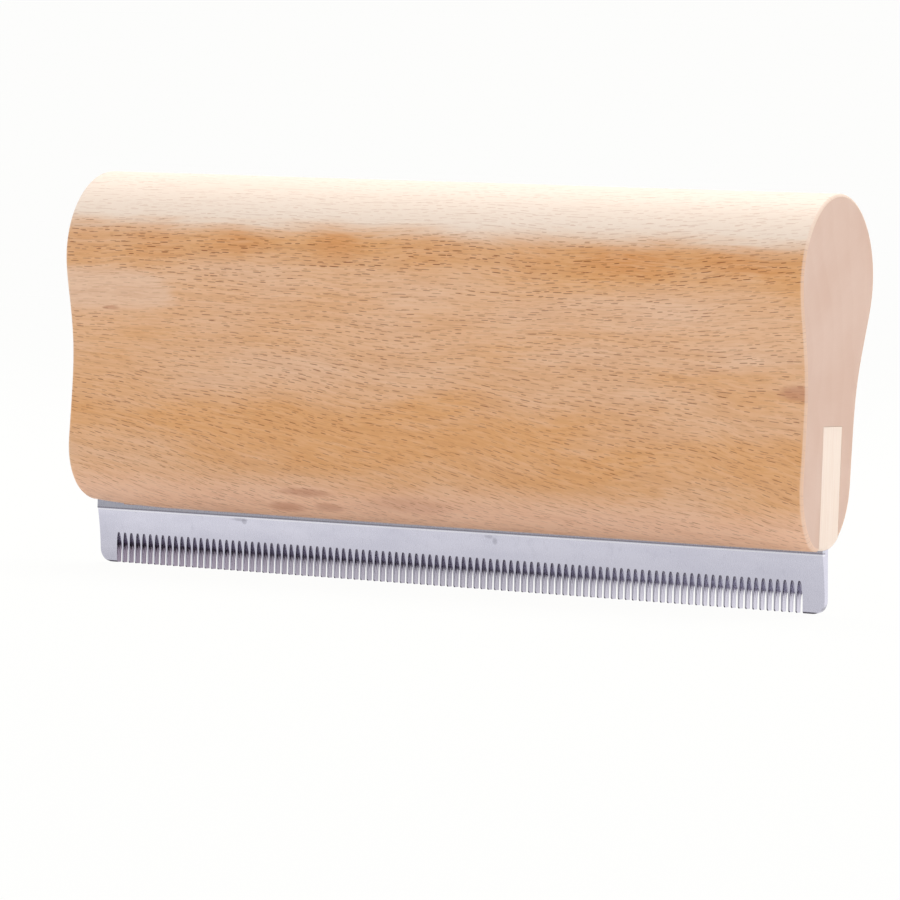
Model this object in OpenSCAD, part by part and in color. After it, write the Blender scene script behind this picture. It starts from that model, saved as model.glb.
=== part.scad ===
// Deshedding tool: a bare beech handle with a steel comb blade let into its underside.
// Z = 0 is the line of the tooth tips, X runs along the handle and -Y is the bevelled
// front of the blade. The handle's section is drawn once and every wooden piece is cut
// from it, so that plugs and strips finish flush with the underside.

/* [Handle] */
// Length of the handle
handle_length = 150; // [120:1:200]
// Half thickness of the palm bulb
bulb_half = 14.5; // [12.5:0.05:17]
// Height of the bulb's widest line above the tooth tips
bulb_z = 57.3; // [52:0.1:64]
// Rise of the rounded top above the bulb's widest line
bulb_rise = 15.4; // [12:0.1:18]
// How late the waist swells into the bulb, 1 is evenly
bulb_swell = 1.48; // [1:0.02:1.8]
// Half thickness at the waist, where the fingers close
waist_half = 9.92; // [8.5:0.02:11]
// Height of the waist
waist_z = 30.6; // [29:0.1:38]
// Half thickness of the foot that holds the blade
foot_half = 10; // [9:0.02:11.5]
// Height of the foot's widest line
foot_z = 22.7; // [21:0.1:26]
// Drop of the rounded back of the foot below its widest line
foot_drop = 11.9; // [11.8:0.05:12]
// Drop of the fuller front of the foot, before the underside is planed
front_drop = 12.8; // [12:0.1:13.5]
// Lean of the handle's section out of the blade's plane, foot towards the front
handle_lean = 2.7; // [0:0.1:4]
// Height of the planed underside at the right end
under_z = 10.95; // [10.9:0.05:11.1]
// How much higher the underside is planed at the left end
under_rise = 0.2; // [0:0.05:0.6]

/* [Slot and plugs] */
// Width of the slot milled along the underside
slot_width = 7.5; // [6.5:0.1:8]
// Height of the slot's roof above the tooth tips
slot_top = 32.6; // [29:0.1:36]
// Length of the plug that closes each end of the slot
plug_length = 8; // [5:0.5:12]
// Glue line round each piece set in the slot
glue_gap = 0.05; // [0.02:0.01:0.1]

/* [Blade] */
// Overall length of the blade
blade_length = 149; // [147:0.1:149.8]
// Position of the blade's middle along the handle
blade_x = 0; // [-0.4:0.05:0.4]
// Thickness of the plate
plate_thick = 2.2; // [1.8:0.1:2.4]
// Angle at which the blade leans back below the ridge
cant = 5; // [2:0.5:6]
// Height of the ridge where the grind begins
ridge_z = 10.25; // [9.6:0.05:10.35]
// How much higher the ridge is at the right end than at the left
ridge_tilt = 0.5; // [0:0.1:0.6]
// Depth of the step that the grind leaves at the ridge
ridge_step = 0.12; // [0.05:0.01:0.2]
// Thickness of the teeth at their tips
tip_thick = 1.35; // [0.8:0.05:1.5]
// Radius of the hollow grind
grind_radius = 42; // [36:1:60]
// Depth to which the blade's shoulders are let into the end plugs
let_in = 0.45; // [0.1:0.05:0.5]
// Radius of the bottom corners
corner_radius = 2.4; // [1:0.1:3]
// Bevel along the front of the tips
tip_bevel = 0.3; // [0.1:0.05:0.4]

/* [Comb] */
// Number of slots ground between the teeth
tooth_slots = 102; // [60:1:102]
// Distance from one slot to the next
tooth_pitch = 1.387; // [1.3:0.001:1.395]
// Position of the middle of the row of slots
comb_x = -0.3; // [-0.6:0.05:0.6]
// Full width of a slot at the face of the blade
gap_width = 1.12; // [0.8:0.02:1.16]
// Width of the wheel's rim, which shapes the top of a slot
rim_width = 0.34; // [0.2:0.02:0.5]
// Radius of the wheel that ground the slots
wheel_radius = 12; // [11:0.5:12.5]
// Height of the wheel's axle
wheel_z = -2.4; // [-3:0.1:-2]
// Distance of the wheel's axle in front of the slot's middle plane
wheel_y = 8.85; // [8.7:0.05:9]

/* [Tang] */
// Length of the tang hidden between the end plugs
tang_length = 133; // [100:1:133]
// Height of the top of the tang
tang_top = 26; // [23:0.5:28]
// Number of pins through the tang
pins = 4; // [2:1:6]
// Radius of a pin
pin_radius = 1.25; // [0.75:0.05:1.5]
// Height of the row of pins
pin_z = 20.5; // [18:0.5:21]

/* [Hidden] */
$fn = 96;

// Cutting bodies
big = 400;     // size of the blocks that stand for a half space
over = 1;      // overrun past a cut face
end_over = 10; // overrun past an end of the handle

// Steps of the drawn curves: angles, and the number of parts in a flank
foot_step = 6;
bulb_step = 5;
corner_step = 9;
flank_parts = 28;

// Slot and its fillings
handle_end = handle_length / 2;
bay_end = handle_end - plug_length;
fill_end = bay_end - glue_gap;
fill_half = slot_width / 2 - glue_gap;

// Tang and pins
tang_chamfer = 2;
pin_pitch = tang_length / pins;
pin_play = 0.02; // added to the radius of a pin's hole

// Blade faces: the rear stands at rear_y and has leaned back by cant_y at the tips
rear_y = plate_thick / 2;
cant_y = ridge_z * tan(cant);
tip_y = rear_y + cant_y - tip_thick;

// The grind is a round hollow, on a chord from the ridge to the front of the tips
chord_y = ridge_step - rear_y - tip_y;
chord = sqrt(chord_y * chord_y + ridge_z * ridge_z);
reach = sqrt(grind_radius * grind_radius - chord * chord / 4) / chord; // axis to chord, in chords
grind_y = tip_y + chord_y / 2 - ridge_z * reach;
grind_z = ridge_z / 2 + chord_y * reach;

// Sides of the grinding wheel: [distance in from the rim, half thickness / gap_width]
wheel_taper = [[1.7, 0.5], [1, 0.45], [0.42, 0.34], [0.15, 0.24]];
wheel_side = concat(
    [[0, gap_width / 2]],
    [for (s = wheel_taper) [wheel_radius - s[0], gap_width * s[1]]],
    [[wheel_radius, rim_width / 2]]
);

// Smooth step from 0 to 1
function ease(t) = t * t * (3 - 2 * t);

// Place of item i in a row centred on 0
function in_row(i, count, pitch) = (i - (count - 1) / 2) * pitch;

// Range from near to far on the positive side, or its mirror image when dir is -1
function span(dir, near, far) = dir > 0 ? [near, far] : [-far, -near];

// ---- Handle section ----

// Half thickness of the section between its two rounded ends
function flank(z) = z < waist_z
    ? foot_half + (waist_half - foot_half) * ease((z - foot_z) / (waist_z - foot_z))
    : waist_half + (bulb_half - waist_half)
        * ease(pow((z - waist_z) / (bulb_z - waist_z), bulb_swell));

// Rear side of the section, from the middle of the underside to the middle of the top
rear_side = concat(
    [for (a = [-90 : foot_step : 0]) [foot_half * cos(a), foot_z + foot_drop * sin(a)]],
    [for (i = [1 : flank_parts - 1])
        let (z = foot_z + (bulb_z - foot_z) * i / flank_parts) [flank(z), z]],
    [for (a = [0 : bulb_step : 90]) [bulb_half * cos(a), bulb_z + bulb_rise * sin(a)]]
);

// The front of the foot is fuller than the back
function front_z(z) = z < foot_z ? foot_z - (foot_z - z) * front_drop / foot_drop : z;

module section() {
    translate([0, bulb_z]) rotate(-handle_lean) translate([0, -bulb_z])
        polygon(concat(
            rear_side,
            [for (i = [len(rear_side) - 2 : -1 : 1])
                [-rear_side[i][0], front_z(rear_side[i][1])]]
        ));
}

// A length of a flat Y-Z shape, over the X range xs
module along(xs) {
    translate([xs[0], 0, 0]) rotate([90, 0, 90]) linear_extrude(xs[1] - xs[0]) children();
}

// Height of the planed underside at x
function plane_z(x) = under_z + under_rise * (0.5 - x / handle_length);

// Cuts away everything below the planed underside
module planed() {
    difference() {
        children();
        translate([handle_end, 0, under_z]) rotate([0, atan(under_rise / handle_length), 0])
            translate([-big, -big / 2, -big]) cube([big + end_over, big, big]);
    }
}

// The part of the section inside the slot, over the ranges xs and ys
module slot_piece(xs, ys) {
    planed() along(xs) intersection() {
        section();
        translate([ys[0], 0]) square([ys[1] - ys[0], slot_top - glue_gap]);
    }
}

// ---- Handle and plugs ----

module handle_block() {
    color([0.87, 0.69, 0.53])
        planed() along([-handle_end, handle_end]) difference() {
            section();
            translate([-slot_width / 2, -over]) square([slot_width, slot_top + over]);
        }
}

// Height of the blade's shoulder at the left (-1) or right (1) end
function shoulder_z(dir) = plane_z(dir * handle_end) + let_in;

module end_plug(dir) {
    color([0.99, 0.93, 0.86])
        difference() {
            slot_piece(span(dir, bay_end, handle_end), [-fill_half, fill_half]);
            // shallow groove for the blade's shoulder
            translate([-big / 2, -rear_y - glue_gap, -over])
                cube([big, plate_thick + 2 * glue_gap, over + shoulder_z(dir) + glue_gap]);
        }
}
module end_plug_left() { end_plug(-1); }
module end_plug_right() { end_plug(1); }

// ---- Blade ----

// Quarter circle at a bottom corner, centred at x
function corner(x, start) = [for (a = [start : corner_step : start + 90])
    [x + corner_radius * cos(a), corner_radius + corner_radius * sin(a)]];

// The blade seen from the front, with rounded bottom corners and a narrower tang
module blade_outline() {
    left = blade_x - blade_length / 2;
    right = blade_x + blade_length / 2;
    tang_end = tang_length / 2;
    polygon(concat(
        corner(left + corner_radius, 180),
        corner(right - corner_radius, 270),
        [
            [right, shoulder_z(1)],
            [tang_end, shoulder_z(1)],
            [tang_end, tang_top - tang_chamfer],
            [tang_end - tang_chamfer, tang_top],
            [tang_chamfer - tang_end, tang_top],
            [-tang_end, tang_top - tang_chamfer],
            [-tang_end, shoulder_z(-1)],
            [left, shoulder_z(-1)]
        ]
    ));
}

// Space behind the rear face: upright beside the tang, leaning back below the ridge
module behind_blade() {
    translate([-big / 2, rear_y, ridge_z]) cube([big, big, big]);
    translate([0, rear_y, ridge_z]) rotate([cant, 0, 0])
        translate([-big / 2, 0, -big]) cube([big, big, big]);
}

// Hollow grind on the front, below the tilted ridge
module hollow_grind() {
    difference() {
        translate([0, grind_y, grind_z]) rotate([0, 90, 0])
            cylinder(r = grind_radius, h = handle_length + 2 * end_over, center = true);
        translate([0, 0, ridge_z]) rotate([0, -atan(ridge_tilt / handle_length), 0])
            translate([-big / 2, -big, 0]) cube([big, 2 * big, big]);
    }
}

// Square bar set on edge, which bevels the front of the tips
module bevel_bar() {
    bar = tip_bevel * sqrt(2);
    translate([-big / 2, tip_y, 0]) rotate([45, 0, 0])
        translate([0, -bar / 2, -bar / 2]) cube([big, bar, bar]);
}

// The wheel that grinds one slot: flat sides that close in towards a narrow rim
module wheel() {
    rotate([0, 90, 0]) rotate_extrude()
        polygon(concat(
            [for (q = wheel_side) [q[0], -q[1]]],
            [for (i = [len(wheel_side) - 1 : -1 : 0]) wheel_side[i]]
        ));
}

// The row of cylinders along Y that makes the pins and their holes
module pin_row(radius, length) {
    for (i = [0 : pins - 1])
        translate([in_row(i, pins, pin_pitch), 0, pin_z]) rotate([90, 0, 0])
            cylinder(r = radius, h = length, center = true);
}

module comb_blade() {
    color([0.78, 0.78, 0.83])
        difference() {
            translate([0, rear_y + cant_y, 0]) rotate([90, 0, 0])
                linear_extrude(plate_thick + cant_y) blade_outline();
            behind_blade();
            hollow_grind();
            bevel_bar();
            for (i = [0 : tooth_slots - 1])
                translate([comb_x + in_row(i, tooth_slots, tooth_pitch), -wheel_y, wheel_z])
                    wheel();
            pin_row(pin_radius + pin_play, plate_thick + 2 * over);
        }
}

// ---- Fillings of the slot ----

// A strip that fills the slot in front of (-1) or behind (1) the tang, drilled for the pins
module packing_strip(dir) {
    color([0.86, 0.72, 0.56])
        difference() {
            slot_piece([-fill_end, fill_end], span(dir, rear_y + glue_gap, fill_half));
            pin_row(pin_radius + pin_play, slot_width + 2 * over);
        }
}
module front_packing_strip() { packing_strip(-1); }
module rear_packing_strip() { packing_strip(1); }

module tang_pins() {
    color([0.62, 0.62, 0.64]) pin_row(pin_radius, 2 * fill_half);
}

// Set glue between the strips, above the tang
module tang_glue() {
    color([0.9, 0.8, 0.55, 0.9])
        translate([-fill_end, -rear_y, tang_top + glue_gap])
            cube([2 * fill_end, plate_thick, slot_top - tang_top - 2 * glue_gap]);
}

handle_block();
end_plug_left();
end_plug_right();
comb_blade();
front_packing_strip();
rear_packing_strip();
tang_pins();
tang_glue();
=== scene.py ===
"""A comb blade held in a beech handle, standing teeth down.

The handle runs along X, its front faces -Y and Z is up. The tips of the teeth are at z = 0.
Sizes are in millimetres and MM turns them into metres, apart from the studio, which is in metres.
"""
import math
from functools import reduce
import bpy, bmesh
import numpy as np
from mathutils import Matrix, Vector, noise


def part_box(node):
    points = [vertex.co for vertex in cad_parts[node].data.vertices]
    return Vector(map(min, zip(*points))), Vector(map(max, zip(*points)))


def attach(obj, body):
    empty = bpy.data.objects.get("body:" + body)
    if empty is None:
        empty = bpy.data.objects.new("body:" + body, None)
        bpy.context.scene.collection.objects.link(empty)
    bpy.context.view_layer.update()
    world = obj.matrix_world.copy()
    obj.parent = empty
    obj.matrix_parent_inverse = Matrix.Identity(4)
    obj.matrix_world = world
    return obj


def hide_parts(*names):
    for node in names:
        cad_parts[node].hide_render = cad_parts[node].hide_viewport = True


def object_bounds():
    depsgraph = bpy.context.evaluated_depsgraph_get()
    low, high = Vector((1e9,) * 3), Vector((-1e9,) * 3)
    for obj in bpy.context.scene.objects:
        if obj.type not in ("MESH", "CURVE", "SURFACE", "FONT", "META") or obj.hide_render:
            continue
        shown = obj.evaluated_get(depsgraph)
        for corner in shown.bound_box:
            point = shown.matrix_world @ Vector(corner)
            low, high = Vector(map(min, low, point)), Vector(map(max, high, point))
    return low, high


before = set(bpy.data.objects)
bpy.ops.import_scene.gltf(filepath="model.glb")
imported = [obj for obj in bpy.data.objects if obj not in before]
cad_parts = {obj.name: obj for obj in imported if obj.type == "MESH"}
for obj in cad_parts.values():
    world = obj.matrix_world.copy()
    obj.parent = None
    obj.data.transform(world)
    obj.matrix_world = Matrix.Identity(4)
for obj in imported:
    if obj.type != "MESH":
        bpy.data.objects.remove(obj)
cad_lo, cad_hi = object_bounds()
MM = 0.001
scene = bpy.context.scene


def box_mm(node):
    """Low and high corners of a CAD piece in millimetres."""
    return [tuple(c / MM for c in corner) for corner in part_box(node)]


# ---------------------------------------------------------------- sizes
# handle section: a half ellipse on top (bulb), a waist, and a half ellipse below (foot)
BULB_HALF, BULB_Z, BULB_RISE = 14.5, 57.3, 15.4
SWELL = 1.48                    # how late the waist widens into the bulb
WAIST_HALF, WAIST_Z = 9.92, 30.6
FOOT_HALF, FOOT_Z, FOOT_DROP = 10.0, 22.7, 11.9
FRONT_DROP = 12.8               # the foot hangs lower at the front
LEAN = math.radians(2.7)        # turn of the section about the bulb's centre
UNDER_Z = 10.95                 # planed underside
EASE_LEFT, EASE_RIGHT = 1.3, 0.55   # radius of the eased edge at each end
EASE_STEPS = 8
PATH_POINTS, BODY_STATIONS = 420, 62
SAND_DEPTH = 0.10               # deepest hand-sanded hollow

(HANDLE_LEFT, _, _), (HANDLE_RIGHT, _, _) = box_mm("handle_block")
PLUG_HI = box_mm("end_plug_right")[1]
SLOT_HALF = PLUG_HI[1] + 0.09   # slot in the underside, a little larger than the plugs
SLOT_TOP = PLUG_HI[2] + 0.05

# blade: the front is ground hollow, on an arc from the tips up to a ridge
BLADE_LO, BLADE_HI = box_mm("comb_blade")
RIDGE_Z, RIDGE_TILT = 10.25, 0.5 / 150
GRIND_RADIUS, TIP_THICK = 42.0, 1.35
TIP_FRONT = BLADE_HI[1] - TIP_THICK
RIDGE_FRONT = BLADE_LO[1] + 0.12
chord_y, chord_z = RIDGE_FRONT - TIP_FRONT, RIDGE_Z
chord = math.hypot(chord_y, chord_z)
reach = math.sqrt(GRIND_RADIUS ** 2 - chord ** 2 / 4) / chord   # chord to centre, in chords
GRIND_Y = TIP_FRONT + chord_y / 2 - chord_z * reach
GRIND_Z = chord_z / 2 + chord_y * reach


# ---------------------------------------------------------------- shader helpers
def srgb(*channels):
    linear = [c / 12.92 if c <= 0.04045 else ((c + 0.055) / 1.055) ** 2.4
              for c in (channel / 255 for channel in channels)]
    return (*linear, 1.0)


LIT = 0.95   # light that reaches the front of the handle


def seen(*channels):
    """The base colour that looks like this sRGB colour on the front of the handle."""
    return (*(c / LIT for c in srgb(*channels)[:3]), 1.0)


class Signal:
    """A node's output. Arithmetic and comparison on it add Math nodes."""

    def __init__(self, graph, socket):
        self.graph, self.socket = graph, socket

    def __add__(self, other):
        return self.graph.math("ADD", self, other)

    def __radd__(self, other):
        return self.graph.math("ADD", other, self)

    def __sub__(self, other):
        return self.graph.math("SUBTRACT", self, other)

    def __rsub__(self, other):
        return self.graph.math("SUBTRACT", other, self)

    def __mul__(self, other):
        return self.graph.math("MULTIPLY", self, other)

    def __truediv__(self, other):
        return self.graph.math("DIVIDE", self, other)

    def __lt__(self, other):
        return self.graph.math("LESS_THAN", self, other)

    def __gt__(self, other):
        return self.graph.math("GREATER_THAN", self, other)

    def __abs__(self):
        return self.graph.math("ABSOLUTE", self)

    def ramp(self, start, end, to=(0.0, 1.0), kind="SMOOTHSTEP"):
        """Map start..end onto the two values of to, held beyond them."""
        values = dict(enumerate((self, start, end, *to)))
        return self.graph.value("MapRange", values, interpolation_type=kind)

    def linear(self, start, end, to=(0.0, 1.0)):
        return self.ramp(start, end, to, kind="LINEAR")

    def bell(self, middle, half):
        """1 at the middle, falling smoothly to 0 at middle +- half."""
        return abs(self - middle).ramp(0.0, half, to=(1.0, 0.0))

    def swing(self, amount):
        """Noise centred on zero and scaled."""
        return (self - 0.5) * amount


class Graph:
    """Adds and links shader nodes in an emptied node tree."""

    def __init__(self, tree):
        self.tree = tree
        tree.nodes.clear()

    def feed(self, node, inputs):
        for key, value in inputs.items():
            if isinstance(value, Signal):
                self.tree.links.new(value.socket, node.inputs[key])
            else:
                node.inputs[key].default_value = value

    def node(self, kind, inputs=None, **props):
        node = self.tree.nodes.new("ShaderNode" + kind)
        for name, value in props.items():
            setattr(node, name, value)
        self.feed(node, inputs or {})
        return node

    def value(self, kind, inputs=None, out=0, **props):
        return Signal(self, self.node(kind, inputs, **props).outputs[out])

    def math(self, operation, *values, clamp=False):
        return self.value("Math", dict(enumerate(values)), operation=operation, use_clamp=clamp)

    def mix(self, factor, first, second):
        return self.value("Mix", {0: factor, 6: first, 7: second}, out=2, data_type="RGBA")

    def xyz(self, x, y, z):
        return self.value("CombineXYZ", {0: x, 1: y, 2: z})

    def split(self, vector):
        node = self.node("SeparateXYZ", {0: vector})
        return [Signal(self, socket) for socket in node.outputs]

    def noise(self, point, scale=1.0, detail=2.0, rough=0.5):
        return self.value("TexNoise", {"Vector": point, "Scale": scale,
                                       "Detail": detail, "Roughness": rough})

    def grain(self, point, rates, detail=2.0, rough=0.5):
        """Stretched noise: each varying axis has a rate per mm, a constant axis picks a slice."""
        rates = iter(rates)
        scaled = [axis * next(rates) if isinstance(axis, Signal) else axis for axis in point]
        return self.noise(self.xyz(*scaled), detail=detail, rough=rough)

    def bump(self, height, strength, depth):
        """A normal from a height whose full scale is depth millimetres."""
        return self.value("Bump", {"Strength": strength, "Distance": depth * MM,
                                   "Height": height})

    def coords_mm(self, kind="Object"):
        coords = self.value("TexCoord", out=kind)
        return self.value("VectorMath", {0: coords, 1: (1000, 1000, 1000)}, operation="MULTIPLY")

    def spot(self, x, z, centre_x, centre_z, half_x, half_z):
        """Squared distance from an elliptical spot's centre, 1 on its rim."""
        off_x = (x - centre_x) * (1 / half_x)
        off_z = (z - centre_z) * (1 / half_z)
        return off_x * off_x + off_z * off_z


class Material(Graph):
    """A node graph that ends in a Principled shader."""

    def __init__(self, name):
        self.material = bpy.data.materials.new(name)
        self.material.use_nodes = True
        super().__init__(self.material.node_tree)
        self.output = self.node("OutputMaterial")
        self.bsdf = self.node("BsdfPrincipled")
        self.shader = Signal(self, self.bsdf.outputs[0])
        self.feed(self.output, {0: self.shader})

    def surface(self, color, rough, spec=0.5, metal=0.0, normal=None):
        self.feed(self.bsdf, {"Base Color": color, "Roughness": rough, "Metallic": metal,
                              "Specular IOR Level": spec})
        if normal is not None:
            self.feed(self.bsdf, {"Normal": normal})
        return self.material


# ---------------------------------------------------------------- beech
FLECK_STAGGER = (0.37, 0.10)    # shear of the cells, so that the dashes don't line up

# deeper orange patches under the top: centre along the handle, half length, depth
PATCHES = [(-70, 9, 0.55), (-55, 9, 0.8), (-37, 11, 0.9), (-17, 10, 0.85),
           (3, 15, 0.45), (24, 9, 0.45), (42, 17, 1.0), (63, 17, 0.95)]

# a pin knot, then reddish cloudy spots on the front: centre x, z, half sizes x, z, amount
BLEMISHES = [(-65.5, 47.6, 1.4, 0.28, 0.40), (-24.5, 15.9, 4.4, 0.6, 0.42),
             (-29.0, 13.0, 3.2, 0.7, 0.42), (-20.0, 13.4, 2.4, 0.6, 0.36),
             (-2.0, 14.8, 8.0, 1.2, 0.22), (73.4, 38.2, 3.2, 1.1, 0.46)]


def flecks(mat, along, around, fall, cell, length, thick, keep, seed):
    """Dashes along the grain, evenly spread: a 0..1 mask and a random value for each dash.

    fall is the drop of a dash per millimetre along, cell the spacing along and around,
    and keep the share of cells that hold a dash.
    """
    shear_x, shear_y = FLECK_STAGGER
    unshear = 1 - shear_x * shear_y
    column, row = along * (1 / cell[0]), around * (1 / cell[1])
    cell_x = column + row * shear_x + seed
    cell_y = row + column * shear_y
    cells = mat.node("TexVoronoi", {"Vector": mat.xyz(cell_x, cell_y, 0.0), "Scale": 1.0,
                                    "Randomness": 0.85}, voronoi_dimensions="2D")
    centre_x, centre_y, _ = mat.split(Signal(mat, cells.outputs["Position"]))
    off_x, off_y = cell_x - centre_x, cell_y - centre_y
    off_along = (off_x - off_y * shear_x) * (cell[0] / unshear)
    off_around = (off_y - off_x * shear_y) * (cell[1] / unshear)
    across = off_around + off_along * fall
    pick, shade_of, size = mat.split(Signal(mat, cells.outputs["Color"]))
    half = size.linear(0.0, 1.0, to=(0.32 * length, 0.68 * length))
    end = off_along / half
    end = end * end
    side = across * (2.0 / thick)
    mask = (1.0 - (end * end + side * side)).ramp(-0.35, 0.55)
    return mask * (pick > 1 - keep), shade_of


def beech_side():
    mat = Material("beech_long_grain")
    x, y, z = mat.split(mat.coords_mm())
    along, around, _ = mat.split(mat.coords_mm("UV"))

    # the grain is level under the top and dips to the right lower down
    dip = z.linear(17, 50, to=(0.27, 0.0)) - along.ramp(10, 60, to=(0.0, 0.10)) * z.ramp(26, 40)
    turn = along - 24.0
    bend = mat.math("SQRT", turn * turn + 60.0)
    drift = (along * -0.21 + bend * 0.05) * z.linear(17, 50, to=(1.0, 0.0))
    sway = mat.grain((along, around, 3.1), (1 / 34, 1 / 22), detail=1.0, rough=0.4)
    ripple = mat.grain((along, around, 7.7), (1 / 8, 1 / 5), detail=1.0)
    wander = sway.swing(6.0) + ripple.swing(1.0)
    layer = around + wander - drift

    # growth layers cut at a slant: broad tongues that rise to the right
    climb = around + sway.swing(9.0) - along * 0.20 * z.ramp(30, 52, to=(1.0, 0.1))
    big = mat.grain((along, climb, 1.7), (1 / 36, 1 / 8), detail=1.0)
    wide = mat.grain((along, layer, 8.3), (1 / 17, 1 / 4.5), rough=0.55)
    line = mat.grain((along, layer, 4.4), (1 / 14, 1 / 0.9), rough=0.6)
    fine = mat.grain((along, layer, 0.3), (1 / 3.2, 1 / 0.30), rough=0.6)

    # orange in the band under the top and across the lower half, pinkish between and at the foot
    warm = (z.bell(60.0, 8.0) * 0.58 + z.bell(26.5, 13.0) * 0.58
            + big.swing(1.5) + wide.swing(0.7) + 0.39)
    warm = mat.math("ADD", warm, 0.0, clamp=True)
    color = mat.mix(warm, seen(225, 185, 153), seen(219, 163, 108))
    # painted light: the foot is painted paler, standing in for bounce light from the table below
    color = mat.mix(z.ramp(20, 13, to=(0.0, 0.75)), color, seen(246, 203, 176))

    # pale smooth tongue on the front near the left end
    tongue = ((along + wide.swing(16.0)).ramp(-60.0, -49.0, to=(1.0, 0.0))
              * (z + line.swing(2.0)).bell(51.0, 6.8) * (y < 0.0))
    tongue = tongue.ramp(0.15, 0.75)
    color = mat.mix(tongue * 0.75, color, seen(226, 191, 164))

    # deeper orange patches along the band
    deep = reduce(lambda first, second: mat.math("MAXIMUM", first, second),
                  (along.bell(centre, half) * depth for centre, half, depth in PATCHES))
    ragged_z = z + (wide.swing(6.0) + line.swing(3.0))
    deep = deep * ragged_z.bell(60.2, 4.6) * big.ramp(0.3, 0.6, to=(0.6, 1.0))
    color = mat.mix(deep * 0.80, color, seen(213, 146, 84))

    # fine streaks, darker and paler
    tone = line.swing(0.8) + fine.swing(0.8)
    color = mat.mix(tone.linear(-0.05, 0.4, to=(0.0, 0.32)), color, seen(186, 130, 88))
    color = mat.mix(tone.linear(0.05, -0.4, to=(0.0, 0.32)), color, seen(238, 206, 178))

    # painted highlight: the top of the bulb is painted paler, standing in for the top light's sheen
    edge = wide.swing(3.4) + line.swing(2.6)
    painted_top_highlight = (z + edge).ramp(60.9, 65.8)
    color = mat.mix(painted_top_highlight * 0.86, color, seen(239, 225, 211))

    # how dense the flecks are: slanting rows, sparser in the tongue and under the painted top
    # highlight
    rows = mat.grain((along, climb, 5.2), (1 / 40, 1 / 2.6), detail=1.0)
    dense = rows.ramp(0.34, 0.52, to=(0.60, 1.0)) * big.ramp(0.62, 0.74, to=(1.0, 0.45))
    dense = dense * tongue.ramp(0.0, 1.0, to=(1.0, 0.35))
    dense = dense * painted_top_highlight.ramp(0.0, 1.0, to=(1.0, 0.50))
    strong = z.ramp(16, 30, to=(0.50, 0.62)) + z.bell(58.5, 9.0) * 0.24

    # dark dashes, shorter brown dashes and long hair lines
    swayed = around + wander * 0.5
    dark, dark_tone = flecks(mat, along, swayed, dip, cell=(2.35, 0.90), length=1.5,
                             thick=0.165, keep=0.88, seed=0.0)
    brown, brown_tone = flecks(mat, along, swayed, dip, cell=(1.8, 0.78), length=1.05,
                               thick=0.17, keep=0.80, seed=31.0)
    hair, hair_tone = flecks(mat, along, swayed, dip * 0.8, cell=(5.6, 1.25), length=4.4,
                             thick=0.15, keep=0.70, seed=67.0)
    dark = dark * dense * dark_tone.linear(0.0, 0.9, to=(0.40, 1.0)) * strong
    brown = brown * dense * brown_tone.linear(0.0, 1.0, to=(0.15, 0.75)) * strong
    hair = hair * hair_tone.linear(0.0, 1.0, to=(0.10, 0.55))
    color = mat.mix(hair * 0.60, color, seen(172, 118, 82))
    # the brown and dark dashes are painted paler under the painted top highlight
    color = mat.mix(brown * 0.85, color, mat.mix(painted_top_highlight, seen(150, 82, 32), seen(186, 120, 66)))
    color = mat.mix(dark, color, mat.mix(painted_top_highlight, seen(120, 54, 10), seen(170, 100, 48)))

    for *place, amount in BLEMISHES:
        distance = mat.spot(x, z, *place) + (line + wide - 1.0) * 2.2
        mask = distance.ramp(2.4, 0.0, to=(0.0, amount)) * (y < 0.0)
        color = mat.mix(mask, color, seen(168, 100, 74))

    # painted highlight: the eased edges at both ends are painted paler where they catch the light
    painted_edge_highlight = abs(x).ramp(74.50, 74.78)
    color = mat.mix(painted_edge_highlight * 0.6, color, seen(234, 206, 187))
    rough = fine.ramp(0.2, 0.8, to=(0.46, 0.58)) + dark * 0.15
    height = fine * 0.25 - (dark + brown * 0.5)
    return mat.surface(color, rough, spec=0.35,
                       normal=mat.bump(height, strength=0.5, depth=0.035))


def beech_end():
    mat = Material("beech_end_grain")
    coords = mat.coords_mm()
    x, y, z = mat.split(coords)
    # growth rings about a pith in front of the handle, flattened and warped
    warp = mat.noise(coords, scale=0.06).swing(8.0)
    pith_y = y + 46.0
    pith_z = z - 34.0
    radius = mat.math("SQRT", pith_y * pith_y + pith_z * pith_z * 0.55) + warp
    ring = mat.math("FRACT", radius * (1 / 4.6))
    late = ring.ramp(0.0, 0.9) * ring.ramp(0.9, 1.0, to=(1.0, 0.0))
    angle = mat.math("ARCTAN2", pith_z, pith_y)
    rays = mat.grain((angle, radius, 0.0), (60.0, 0.12), rough=0.6)
    pores = mat.grain((x, y, z), (0.2, 5.0, 5.0), detail=3.0, rough=0.7)
    big = mat.noise(coords, scale=0.09)
    tone = late * 0.12 + big.ramp(0.3, 0.7) * 0.45
    tone = mat.math("ADD", tone, rays.swing(0.22), clamp=True)
    color = mat.mix(tone, seen(221, 192, 176), seen(211, 176, 157))
    color = mat.mix(pores.ramp(0.58, 0.75, to=(0.0, 0.2)), color, seen(188, 146, 122))
    return mat.surface(color, pores.ramp(0.3, 0.7, to=(0.52, 0.66)), spec=0.3,
                       normal=mat.bump(pores, strength=0.35, depth=0.05))


def plug_wood():
    mat = Material("pale_plug_grain")
    point = mat.split(mat.coords_mm())
    streak = mat.grain(point, (0.4, 2.2, 0.09), detail=3.0, rough=0.6)
    pores = mat.grain(point, (0.5, 6.0, 4.0), rough=0.6)
    tone = mat.math("ADD", streak.ramp(0.35, 0.7) * 0.45, pores.swing(0.3), clamp=True)
    color = mat.mix(tone, seen(247, 230, 216), seen(238, 214, 196))
    return mat.surface(color, rough=0.55, spec=0.3,
                       normal=mat.bump(streak + pores, strength=0.25, depth=0.03))


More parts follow.
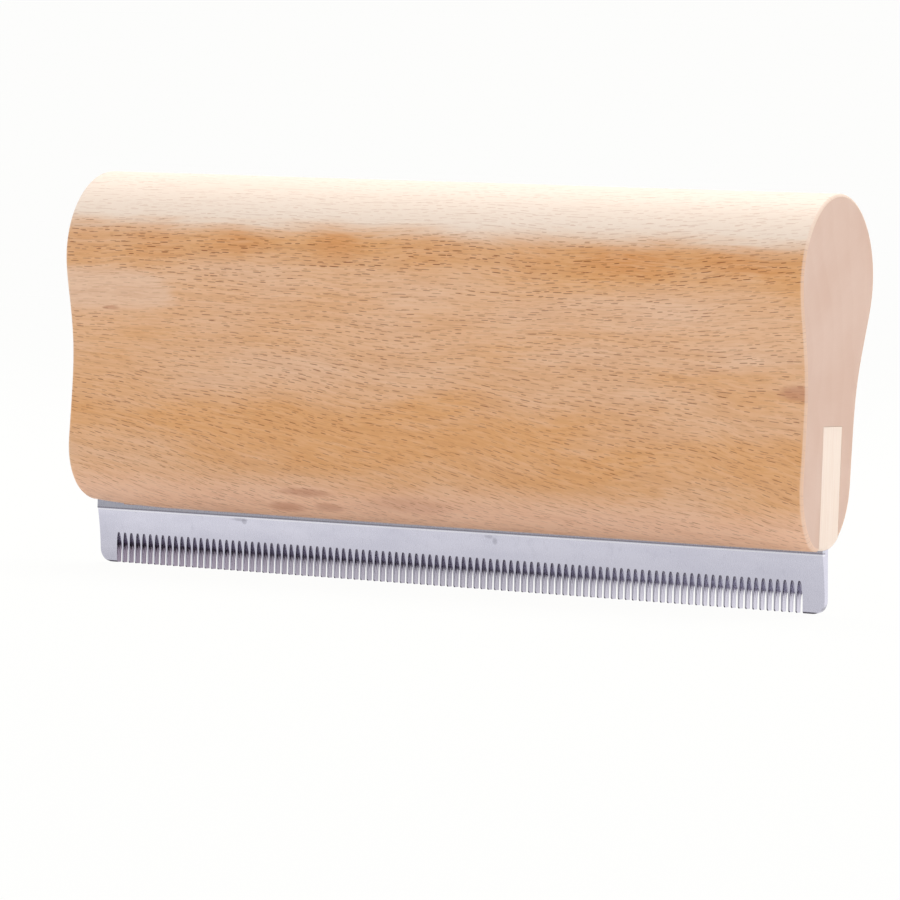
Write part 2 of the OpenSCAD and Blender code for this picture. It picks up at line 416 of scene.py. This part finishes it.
def strip_wood():
    mat = Material("packing_strip_grain")
    point = mat.split(mat.coords_mm())
    streak = mat.grain(point, (0.06, 1.6, 1.6), detail=3.0, rough=0.6)
    saw = mat.grain(point, (1.4, 0.2, 0.1), rough=0.6)
    color = mat.mix(streak.ramp(0.3, 0.7), seen(216, 176, 144), seen(200, 152, 112))
    color = mat.mix(saw.ramp(0.55, 0.8, to=(0.0, 0.25)), color, seen(180, 132, 92))
    return mat.surface(color, rough=0.7, spec=0.25,
                       normal=mat.bump(streak + saw, strength=0.5, depth=0.06))


# ---------------------------------------------------------------- steel and glue
# two scuffs across the ridge, two marks each: centre x, z, half sizes x, z
SCUFFS = [(-43.6, 9.55, 1.7, 0.28), (-42.6, 9.3, 0.5, 0.5),
          (8.6, 9.6, 0.9, 0.35), (9.9, 8.9, 0.5, 0.7)]


def steel():
    mat = Material("ground_comb_steel")
    x, y, z = mat.split(mat.coords_mm())
    normal_x, _, normal_z = mat.split(mat.value("NewGeometry", out="True Normal"))
    wall = abs(normal_x).ramp(0.55, 0.8)
    grind = mat.grain((x, y, z), (0.8, 1.0, 0.35), detail=3.0, rough=0.6)
    lines = mat.grain((x, 0.0, z), (9.0, 0.5), rough=0.6)
    cloud = mat.grain((x, 0.0, z), (0.07, 0.2), detail=3.0, rough=0.55)
    color = mat.mix(cloud.ramp(0.3, 0.7), srgb(232, 231, 243), srgb(222, 221, 234))
    color = mat.mix(grind.ramp(0.55, 0.8, to=(0.0, 0.3)), color, srgb(200, 199, 212))

    # small water marks under the ridge
    stain = mat.grain((x, 3.0, z), (0.16, 0.5), detail=4.0, rough=0.7)
    stain = stain.ramp(0.64, 0.72) * z.ramp(6.5, 9.6)
    color = mat.mix(stain * 0.35, color, srgb(150, 148, 160))

    # the slots are darker in a thin rim along their front edge
    arc_z = z - GRIND_Z
    arc_y = GRIND_Y + mat.math("SQRT", GRIND_RADIUS * GRIND_RADIUS - arc_z * arc_z)
    behind = y - arc_y
    inside = (abs(x) < 72.0) * (z < 6.3)
    rim = z.ramp(1.0, 3.4, to=(0.22, 0.50))
    scale = behind.ramp(0.03, rim, to=(1.0, 0.0)) * wall

    # painted reflection on the walls of the slots: darker to the left, where they mirror a darker
    # part of the studio; a duller cut at the plate's ends
    reflection_tint = mat.mix(x.ramp(-72, 0), srgb(150, 139, 154), srgb(180, 176, 187))
    reflection_tint = mat.mix(x.ramp(0, 60), reflection_tint, srgb(210, 207, 218))
    slot = abs(normal_x).ramp(0.35, 0.6) * inside * z.ramp(3.8, 3.3)
    color = mat.mix(slot, color, reflection_tint)
    color = mat.mix(wall * (abs(x) > 72.0), color, srgb(206, 204, 216))
    color = mat.mix(scale * inside * 0.5, color, srgb(92, 84, 96))

    # the narrow fronts of the teeth are duller than the plate
    row = abs(x + 0.3) < 70.5
    front = abs(normal_x).ramp(0.3, 0.1) * row * z.ramp(4.2, 2.6)
    color = mat.mix(front * x.ramp(-66.0, 10.0), color, srgb(188, 186, 198))

    # painted shade where the wheel ran out, above the open part of each slot: the cut there faces
    # down into shade and is painted darker
    painted_runout_shade = mat.math("MAXIMUM", abs(normal_x).ramp(0.2, 0.4), normal_z.ramp(-0.36, -0.5))
    painted_runout_shade = painted_runout_shade * inside * (z + grind * 0.3).ramp(3.35, 3.6)
    color = mat.mix(painted_runout_shade * x.ramp(0.0, 60.0, to=(0.38, 0.15)), color, srgb(120, 108, 130))

    # above the ridge the plate is painted greyer, as painted shade under the wood's overhang, with
    # a painted shadow line in the step over a painted highlight along the lip
    level = z - x * RIDGE_TILT
    painted_band_shade = (level + grind.swing(0.12)).ramp(RIDGE_Z - 0.02, RIDGE_Z + 0.10)
    face = y < 0.0
    color = mat.mix(painted_band_shade * face, color, srgb(198, 199, 209))
    painted_step_shade = level.bell(RIDGE_Z + 0.12, 0.24)
    color = mat.mix(painted_step_shade * 0.75 * face, color, srgb(140, 136, 148))
    # painted highlight: a bright line along the top of the grind, just under the step
    lip = level.bell(RIDGE_Z - 0.20, 0.20)
    color = mat.mix(lip * 0.6 * face, color, srgb(255, 255, 255))

    for place in SCUFFS:
        distance = mat.spot(x, z, *place) + grind.swing(3.0)
        mask = distance.ramp(1.6, 0.0, to=(0.0, 0.38)) * face
        color = mat.mix(mask, color, srgb(140, 138, 150))
    rough = (lines * 0.5 + cloud * 0.5).ramp(0.3, 0.7, to=(0.22, 0.32))
    return mat.surface(color, rough, metal=1.0,
                       normal=mat.bump(lines + grind * 0.6, strength=0.12, depth=0.02))


def pin_steel():
    mat = Material("drawn_pin_steel")
    drawn = mat.grain(mat.split(mat.coords_mm()), (6.0, 0.3, 6.0), rough=0.6)
    color = mat.mix(drawn.ramp(0.3, 0.7), srgb(172, 172, 174), srgb(132, 132, 136))
    return mat.surface(color, drawn.ramp(0.3, 0.7, to=(0.28, 0.45)), metal=1.0,
                       normal=mat.bump(drawn, strength=0.2, depth=0.02))


def set_glue():
    mat = Material("set_tang_glue")
    coords = mat.coords_mm()
    cloud = mat.noise(coords, scale=0.35, detail=3.0, rough=0.55)
    grit = mat.noise(coords, scale=2.4, rough=0.6)
    color = mat.mix(cloud.ramp(0.3, 0.7), srgb(226, 200, 142), srgb(198, 164, 102))
    return mat.surface(color, grit.ramp(0.3, 0.7, to=(0.22, 0.4)),
                       normal=mat.bump(grit, strength=0.3, depth=0.08))


SIDE, END, PLUG, STRIP = beech_side(), beech_end(), plug_wood(), strip_wood()
STEEL, PIN, GLUE = steel(), pin_steel(), set_glue()


# ---------------------------------------------------------------- the handle's section
def ease(t):
    return t * t * (3 - 2 * t)


def foot_arc(count):
    """(half thickness, height) from the middle of the underside up towards the foot's side."""
    angles = [math.radians(-90 + 90 * i / count) for i in range(count)]
    return [(FOOT_HALF * math.cos(a), FOOT_Z + FOOT_DROP * math.sin(a)) for a in angles]


def half_section(foot_steps=26, side_steps=70, top_steps=34):
    """(half thickness, height) from the middle of the underside up to the middle of the top."""
    points = foot_arc(foot_steps)
    for i in range(side_steps):
        z = FOOT_Z + (BULB_Z - FOOT_Z) * i / side_steps
        if z < WAIST_Z:
            blend = ease((z - FOOT_Z) / (WAIST_Z - FOOT_Z))
            half = FOOT_HALF + (WAIST_HALF - FOOT_HALF) * blend
        else:
            blend = ease(((z - WAIST_Z) / (BULB_Z - WAIST_Z)) ** SWELL)
            half = WAIST_HALF + (BULB_HALF - WAIST_HALF) * blend
        points.append((half, z))
    for i in range(top_steps + 1):
        angle = math.radians(90 * i / top_steps)
        points.append((BULB_HALF * math.cos(angle), BULB_Z + BULB_RISE * math.sin(angle)))
    return np.array(points)


def leaned(points):
    y, drop = points[:, 0], BULB_Z - points[:, 1]
    return np.stack([y * math.cos(LEAN) - drop * math.sin(LEAN),
                     BULB_Z - drop * math.cos(LEAN) - y * math.sin(LEAN)], 1)


def arc_lengths(points):
    return np.concatenate([[0], np.cumsum(np.hypot(*np.diff(points, axis=0).T))])


def outer_path():
    """The section from the slot's front lip up the front, over the top and down to the rear lip."""
    rear = half_section()
    front = rear.copy()
    front[:, 0] *= -1
    foot = front[:, 1] < FOOT_Z
    front[foot, 1] = FOOT_Z - (FOOT_Z - front[foot, 1]) * FRONT_DROP / FOOT_DROP
    whole = leaned(np.concatenate([front, rear[::-1][1:]]))
    whole = np.concatenate([whole, whole[:1]])

    lengths = arc_lengths(whole)
    even = np.linspace(0, lengths[-1], PATH_POINTS)
    path = np.stack([np.interp(even, lengths, whole[:, 0]),
                     np.interp(even, lengths, whole[:, 1])], 1)
    in_slot = (path[:, 1] < 30) & (np.abs(path[:, 0]) < SLOT_HALF)
    kept = np.where(~in_slot)[0]
    path = path[kept[0]:kept[-1] + 1]

    def lip(y, start, end):
        """The point at y on the line through start and end."""
        return start + (end - start) * ((y - start[0]) / (end[0] - start[0]))

    first = lip(-SLOT_HALF, path[0], path[0] + (path[0] - path[1]))
    last = lip(SLOT_HALF, path[-1], path[-1] + (path[-1] - path[-2]))
    return np.concatenate([[first], path, [last]])


def left_end(x):
    """0 along the handle, rising to 1 at the left end."""
    return min(1.0, max(0.0, (-x - 56.0) / 19.0)) ** 1.6


def under(x):
    """Height of the planed underside: flat, and sanded away at both ends."""
    return UNDER_Z + 0.65 * left_end(x) + 0.08 * min(1.0, max(0.0, (x - 66.0) / 9.0)) ** 2


def foot_shape(y, z, x, inset):
    """Heights at x with the foot lifted towards the left end and cut by the underside."""
    low = np.clip((FOOT_Z + 2 - z) / (FOOT_Z + 2 - UNDER_Z), 0, 1)
    z = z + 0.85 * left_end(x) * low ** 1.5
    shallow = 1 - (1 - FOOT_DROP / FRONT_DROP) * left_end(x) * np.clip(-y - 1, 0, 1)
    z = np.where(z < FOOT_Z, FOOT_Z - (FOOT_Z - z) * shallow, z)
    plane = under(x) + inset
    gap = z - plane
    # a rounded maximum of the foot and the plane, fading out above the foot
    rounded = plane + 0.5 * (gap + np.sqrt(gap * gap + 0.16))
    return np.where(z < FOOT_Z - 2, rounded, z + 0.04 / np.maximum(gap, 5.0) * (z < FOOT_Z + 6))


# ---------------------------------------------------------------- mesh helpers
def new_object(name, verts, faces, materials):
    mesh = bpy.data.meshes.new(name)
    mesh.from_pydata([tuple(float(c) for c in vert) for vert in verts], [], faces)
    for material in materials:
        mesh.materials.append(material)
    mesh.update()
    ob = bpy.data.objects.new(name, mesh)
    scene.collection.objects.link(ob)
    return ob


def tube_faces(rings, size):
    """Quads between rings of size points, then a cap on the first ring and on the last."""
    faces = []
    for i in range(rings - 1):
        here, there = i * size, (i + 1) * size
        for j in range(size):
            k = (j + 1) % size
            faces.append((here + j, here + k, there + k, there + j))
    faces.append(tuple(range(size))[::-1])
    faces.append(tuple((rings - 1) * size + j for j in range(size)))
    return faces


def shade(ob, degrees=25):
    """Smooth shading with edges over the angle kept sharp."""
    mesh = ob.data
    mesh.polygons.foreach_set("use_smooth", [True] * len(mesh.polygons))
    bm = bmesh.new()
    bm.from_mesh(mesh)
    bm.normal_update()
    limit = math.radians(degrees)
    for edge in bm.edges:
        edge.smooth = len(edge.link_faces) == 2 and edge.calc_face_angle(0.0) < limit
    bm.to_mesh(mesh)
    bm.free()
    mesh.update()


def hand_over(ob, node):
    """Parent the piece to the root body and hide the CAD part it stands for."""
    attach(ob, "root")
    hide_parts(node)


# ---------------------------------------------------------------- handle
def handle_stations():
    """(x, inset of the section) from left to right, with a quarter round at each end."""
    angles = [math.radians(90 * k / EASE_STEPS) for k in range(EASE_STEPS + 1)]
    body = np.linspace(HANDLE_LEFT + EASE_LEFT, HANDLE_RIGHT - EASE_RIGHT, BODY_STATIONS)[1:-1]
    return ([(HANDLE_LEFT + EASE_LEFT * (1 - math.cos(a)), EASE_LEFT * (1 - math.sin(a)))
             for a in angles]
            + [(x, 0.0) for x in body]
            + [(HANDLE_RIGHT - EASE_RIGHT * (1 - math.cos(a)), EASE_RIGHT * (1 - math.sin(a)))
               for a in angles[::-1]])


def handle_ring(path, outward, arc, x, inset):
    """The section at x, closed by the two top corners of the slot."""
    # hand-sanded: shallow hollows, always inwards
    hollow = np.array([SAND_DEPTH * (0.5 + 0.5 * noise.noise(Vector((x / 38, a / 17, 2.0))))
                       for a in arc])
    # the right end's edge is eased more by the foot
    wider = np.interp(path[:, 1], [13, 32], [1.6, 1.0]) if x > 0 else 1.0
    fade = min(1.0, (x - HANDLE_LEFT) / 6 + 0.2, (HANDLE_RIGHT - x) / 6 + 0.2)
    ring = path - outward * (inset * wider + hollow * fade)[:, None]
    ring[:, 1] = foot_shape(ring[:, 0], ring[:, 1], x, inset)
    # keep the foot clear of the slot
    low = path[:, 1] < 30
    front, rear = low & (path[:, 0] < 0), low & (path[:, 0] > 0)
    ring[front, 0] = np.minimum(ring[front, 0], -SLOT_HALF)
    ring[rear, 0] = np.maximum(ring[rear, 0], SLOT_HALF)
    ring[0, 0], ring[-1, 0] = -SLOT_HALF, SLOT_HALF
    return np.concatenate([ring, [[SLOT_HALF, SLOT_TOP], [-SLOT_HALF, SLOT_TOP]]])


def unwrap_handle(bm, arc, size):
    """UVs in metres: U along the handle, V around the section."""
    layer = bm.loops.layers.uv.new("UVMap")
    around = np.concatenate([arc, [arc[-1] + 21, arc[-1] + 29]])
    for face in bm.faces:
        in_slot = any(loop.vert.index % size >= len(arc) for loop in face.loops)
        for loop in face.loops:
            j = loop.vert.index % size
            length = around[-1] + 21 if j == 0 and in_slot else around[j]
            loop[layer].uv = (loop.vert.co.x, length * MM)


def build_handle():
    path = outer_path()
    tangent = np.gradient(path, axis=0)
    outward = np.stack([-tangent[:, 1], tangent[:, 0]], 1)
    outward /= np.hypot(outward[:, 0], outward[:, 1])[:, None]
    arc = arc_lengths(path)
    size = len(path) + 2
    stations = handle_stations()
    verts = [(x * MM, y * MM, z * MM) for x, inset in stations
             for y, z in handle_ring(path, outward, arc, x, inset)]
    faces = tube_faces(len(stations), size)
    ob = new_object("beech_handle", verts, faces, [SIDE, END])
    caps = np.array([0] * (len(faces) - 2) + [1, 1], np.int32)
    ob.data.polygons.foreach_set("material_index", caps)
    bm = bmesh.new()
    bm.from_mesh(ob.data)
    bmesh.ops.triangulate(bm, faces=[face for face in bm.faces if len(face.verts) > 4])
    bmesh.ops.recalc_face_normals(bm, faces=bm.faces)
    unwrap_handle(bm, arc, size)
    bm.to_mesh(ob.data)
    bm.free()
    shade(ob)
    for polygon in ob.data.polygons:
        if polygon.material_index == 1:
            polygon.use_smooth = False
    hand_over(ob, "handle_block")


build_handle()


# ---------------------------------------------------------------- end plugs
def underside():
    """(y, z) points across the leaned underside, from front to rear."""
    rear = np.array(foot_arc(80)[:70])
    both = leaned(np.concatenate([rear[::-1] * [-1, 1], rear[1:]]))
    return both[np.argsort(both[:, 0])]


UNDERSIDE = underside()
SHOULDER_HALF = 1.15            # half width of the seat over the blade's shoulder


def build_plug(name, node, out, radius, seat):
    """A plug cut flush with the underside and sanded with the end of the handle.

    out is the X direction of its outer end, and seat the height that clears the blade's shoulder.
    """
    lo, hi = box_mm(node)
    inner, outer = (lo[0], hi[0]) if out > 0 else (hi[0], lo[0])
    stations = [(inner + (outer - out * radius - inner) * k / 10, 0.0) for k in range(11)]
    for k in range(1, EASE_STEPS + 1):
        angle = math.radians(90 * k / EASE_STEPS)
        stations.append((outer - out * radius * (1 - math.sin(angle)),
                         radius * (1 - math.cos(angle))))
    across = np.sort(np.append(np.linspace(lo[1], hi[1], 13), [-SHOULDER_HALF, SHOULDER_HALF]))
    base = np.interp(across, UNDERSIDE[:, 0], UNDERSIDE[:, 1])
    verts = []
    for x, inset in stations:
        for y, z in zip(across, foot_shape(across, base + inset, x, inset)):
            if abs(y) < SHOULDER_HALF + 0.01 and abs(x) < 74.6:
                z = max(z, seat)
            verts.append((x * MM, y * MM, z * MM))
        verts += [(x * MM, hi[1] * MM, hi[2] * MM), (x * MM, lo[1] * MM, hi[2] * MM)]
    ob = new_object(name, verts, tube_faces(len(stations), len(across) + 2), [PLUG])
    bm = bmesh.new()
    bm.from_mesh(ob.data)
    bmesh.ops.recalc_face_normals(bm, faces=bm.faces)
    bm.to_mesh(ob.data)
    bm.free()
    shade(ob)
    hand_over(ob, node)


build_plug("plug_right", "end_plug_right", out=1, radius=EASE_RIGHT, seat=11.45)
build_plug("plug_left", "end_plug_left", out=-1, radius=EASE_LEFT, seat=11.65)

# the other pieces keep their CAD meshes
for node, material in {"front_packing_strip": STRIP, "rear_packing_strip": STRIP,
                       "tang_pins": PIN, "tang_glue": GLUE, "comb_blade": STEEL}.items():
    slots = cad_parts[node].data.materials
    slots.clear()
    slots.append(material)


# ---------------------------------------------------------------- studio, in metres
SWEEP_HALF, SWEEP_NEAR, SWEEP_FAR = 3.0, -2.5, 2.2
SWEEP_RADIUS, SWEEP_TOP, SWEEP_STEPS = 0.8, 2.4, 12
FLOOR_GAP = 0.0002
FILL = 0.68                     # world light on everything but mirrors


def floor_material():
    """Near white to the camera, and clear from behind and in reflections."""
    mat = Material("studio_floor")
    back = mat.value("NewGeometry", out="Backfacing")
    path = mat.node("LightPath")
    glow = mat.value("Emission", {0: (1, 1, 0.99, 1), 1: 1.0})
    cloud = mat.noise(mat.coords_mm(), scale=0.004, detail=1.0)
    mat.surface(mat.mix(cloud, srgb(234, 233, 231), srgb(230, 230, 228)), rough=0.9, spec=0.1)
    to_camera = Signal(mat, path.outputs["Is Camera Ray"]) * 0.96
    seen_floor = mat.value("MixShader", {0: to_camera, 1: mat.shader, 2: glow})
    clear = mat.value("BsdfTransparent")
    hidden = mat.math("MAXIMUM", back, Signal(mat, path.outputs["Is Glossy Ray"]))
    mat.feed(mat.output, {0: mat.value("MixShader", {0: hidden, 1: seen_floor, 2: clear})})
    return mat.material


def build_floor():
    """A floor that curves up into a back wall."""
    material = floor_material()
    profile = [(SWEEP_NEAR, 0.0), (SWEEP_FAR, 0.0)]
    for i in range(1, SWEEP_STEPS + 1):
        angle = math.radians(90 * i / SWEEP_STEPS)
        profile.append((SWEEP_FAR + SWEEP_RADIUS * math.sin(angle),
                        SWEEP_RADIUS - SWEEP_RADIUS * math.cos(angle)))
    profile.append((SWEEP_FAR + SWEEP_RADIUS, SWEEP_TOP))
    ground = cad_lo.z - FLOOR_GAP
    verts = [(side * SWEEP_HALF, y, z + ground) for y, z in profile for side in (-1, 1)]
    faces = [(2 * i, 2 * i + 1, 2 * i + 3, 2 * i + 2) for i in range(len(profile) - 1)]
    ob = new_object("studio_sweep", verts, faces, [material])
    ob.visible_shadow = False      # the bounce light stands below the sweep


def build_world():
    """White to the eye, an even soft fill for the wood, and cards and gaps for the steel."""
    world = bpy.data.worlds.new("studio")
    scene.world = world
    world.use_nodes = True
    sky = Graph(world.node_tree)
    output = sky.node("OutputWorld")
    path = sky.node("LightPath")
    x, y, z = sky.split(sky.value("TexCoord", out="Generated"))
    rad = math.radians

    # in front: dark right below, a bright table edge, mid grey at eye height, bright above
    front = z.ramp(-0.86, -0.62, to=(0.10, 0.86))
    front = front - z.linear(-0.48, -0.04, to=(0.0, 0.30))
    front = front + z.ramp(0.10, 0.45, to=(0.0, 0.50))
    # angle from straight ahead: brighter at the far left, with a gap between the cards
    side = sky.math("ARCTAN2", x, y * -1.0)
    front = front * (side.ramp(rad(-36), rad(-29.5), to=(1.13, 0.60))
                     + side.ramp(rad(-29), rad(-24), to=(0.0, 0.285)))
    front = sky.math("MAXIMUM", front, side.ramp(rad(-29), rad(-24.5), to=(0.10, 0.80)))

    # behind: white paper, a little dimmer to the right
    angle = sky.math("ARCTAN2", x, y)
    back = angle.linear(rad(20), rad(62), to=(1.25, 0.8))
    back = back * z.ramp(-0.62, -0.25, to=(0.05, 1.0))
    gloss = (front * y.ramp(-0.15, 0.15, to=(1.0, 0.0))
             + back * y.ramp(-0.15, 0.15, to=(0.0, 1.0)))
    reflection_tint = sky.mix(gloss.ramp(0.15, 0.6), (1.0, 0.90, 1.02, 1), (0.985, 0.985, 1.0, 1))

    def background(color, strength):
        return sky.value("Background", {0: color, 1: strength})

    def switch(ray, first, second):
        return sky.value("MixShader", {0: Signal(sky, path.outputs[ray]), 1: first, 2: second})

    lit = switch("Is Glossy Ray", background((0.97, 0.98, 1.0, 1), FILL), background(reflection_tint, gloss))
    shown = switch("Is Camera Ray", lit, background((1, 1, 0.985, 1), 1.0))
    sky.feed(output, {0: shown})


def area(name, place, width, height, power, color, shine=False):
    """A rectangular light aimed at the middle of the product; shine shows it in reflections."""
    light = bpy.data.lights.new(name, "AREA")
    light.shape = "RECTANGLE"
    light.size, light.size_y = width, height
    light.energy = power
    light.color = color
    light.specular_factor = 0.35
    ob = bpy.data.objects.new(name, light)
    ob.visible_glossy = shine
    ob.location = place
    ob.rotation_mode = "QUATERNION"
    middle = (cad_lo + cad_hi) / 2
    ob.rotation_quaternion = (middle - Vector(place)).to_track_quat("-Z", "Y")
    scene.collection.objects.link(ob)


def build_camera():
    data = bpy.data.cameras.new("camera")
    data.sensor_width = 36
    data.lens = 207.0586
    data.clip_start, data.clip_end = 0.01, 20
    camera = bpy.data.objects.new("camera", data)
    # columns are the camera's right, up and backward directions
    turn = Matrix(((0.8711889407660977, -0.05245181411745474, 0.48813792792881067),
                   (0.4895836494684246, 0.018746376164791564, -0.8717547955439459),
                   (0.03657430327461541, 0.9984474851370382, 0.042011186171070504)))
    camera.rotation_mode = "QUATERNION"
    camera.rotation_quaternion = turn.to_quaternion()
    camera.location = (0.4528092228175622, -0.8092881633155893, 0.06360615814543024)
    scene.collection.objects.link(camera)
    scene.camera = camera


build_floor()
build_world()
area("top_box", (0.0, 0.42, 1.15), width=0.9, height=0.6, power=9.9,
     color=(1.0, 0.985, 0.96), shine=True)
area("front_fill", (-0.2, -1.6, 0.45), width=1.6, height=1.6, power=3.3, color=(1.0, 0.98, 0.95))
area("right_fill", (1.5, -0.2, 0.5), width=1.0, height=1.0, power=2.9, color=(1.0, 0.98, 0.96))
area("table_bounce", (0.0, -0.35, -0.85), width=0.8, height=0.8, power=1.0,
     color=(1.0, 0.98, 0.96))
build_camera()
scene.view_settings.view_transform = "Standard"
scene.view_settings.look = "None"
